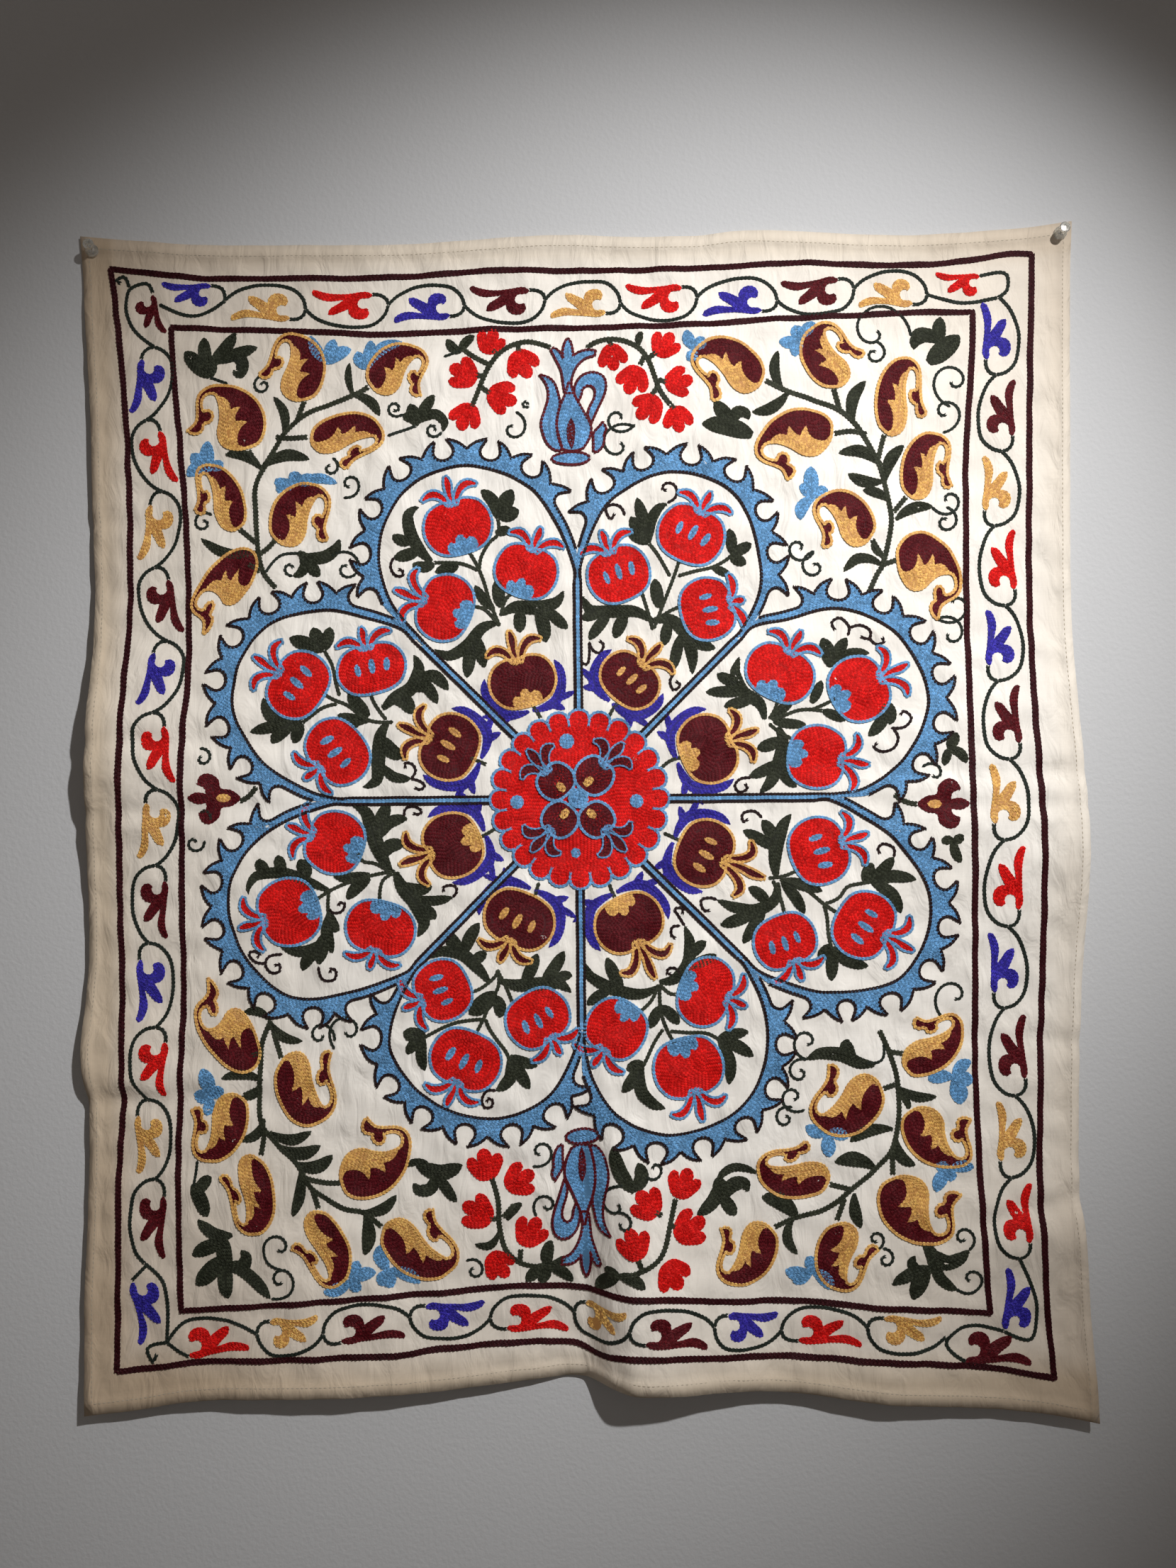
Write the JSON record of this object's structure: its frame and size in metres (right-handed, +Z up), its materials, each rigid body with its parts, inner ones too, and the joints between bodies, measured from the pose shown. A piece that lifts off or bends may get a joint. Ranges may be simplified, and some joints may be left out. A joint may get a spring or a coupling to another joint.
{
  "type": "suzani embroidered wall hanging with push pins",
  "caption": "Embroidered cotton hanging with a central petalled medallion and a vine border, hung from its two top corners by clear push pins.",
  "frame": {"origin": "midway between the two pins, on the plane of the wall behind the cloth", "axes": "+Z up, front of the cloth faces -Y, +X to the right as seen from the front"},
  "size_m": [0.9047, 0.0485, 1.072],
  "materials": {
    "cloth": "undyed cotton cloth with coloured chain-stitch embroidery",
    "pin_head": "clear moulded plastic",
    "pin_needle": "bright steel wire"
  },
  "bodies": {
    "root": {"cloth": "cloth", "pin_head_left": "pin_head", "pin_head_right": "pin_head", "pin_needle_left": "pin_needle", "pin_needle_right": "pin_needle"}
  },
  "joints": []
}
